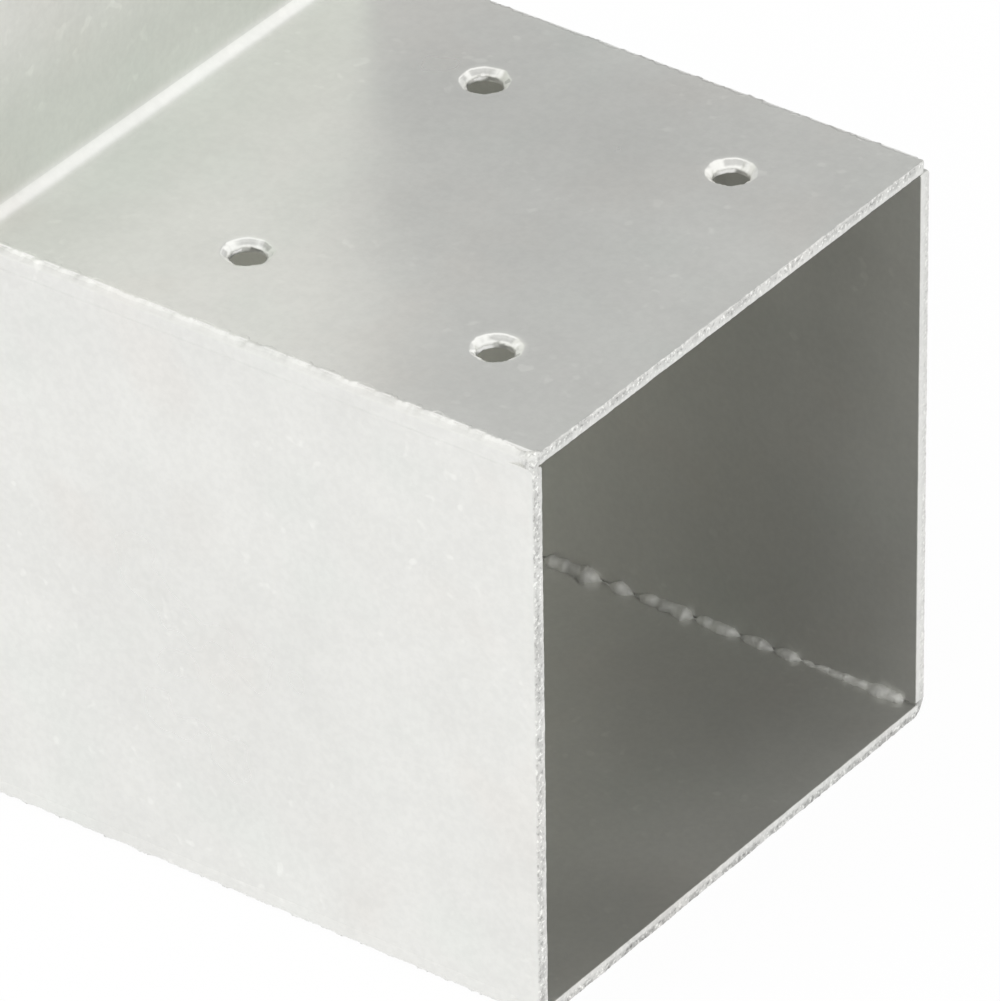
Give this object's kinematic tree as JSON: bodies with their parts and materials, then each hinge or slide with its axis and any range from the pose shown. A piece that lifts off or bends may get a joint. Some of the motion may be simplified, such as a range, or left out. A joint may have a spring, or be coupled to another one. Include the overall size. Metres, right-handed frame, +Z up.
{
  "type": "l-shaped post connector",
  "caption": "Galvanised sheet-steel elbow of two square sleeves at a right angle, welded along its corners, that joins square timber posts with countersunk screws.",
  "frame": {"origin": "middle of the bounding box in plan, at the lower face of the lying sleeve", "axes": "+X along the lying sleeve to its mouth, +Z up the standing sleeve to its mouth, Y across the cheeks"},
  "size_m": [0.193, 0.095, 0.193],
  "materials": {
    "galvanised_sheet": "hot-dip galvanised, matt silver-grey with faint mottling",
    "galvanised_weld": "hot-dip galvanised weld bead, brighter and lumpy"
  },
  "bodies": {
    "root": {"near_cheek": "galvanised_sheet", "far_cheek": "galvanised_sheet", "inner_strip": "galvanised_sheet", "outer_strip": "galvanised_sheet", "inner_near_weld": "galvanised_weld", "inner_far_weld": "galvanised_weld", "outer_near_weld": "galvanised_weld", "outer_far_weld": "galvanised_weld"}
  },
  "joints": []
}
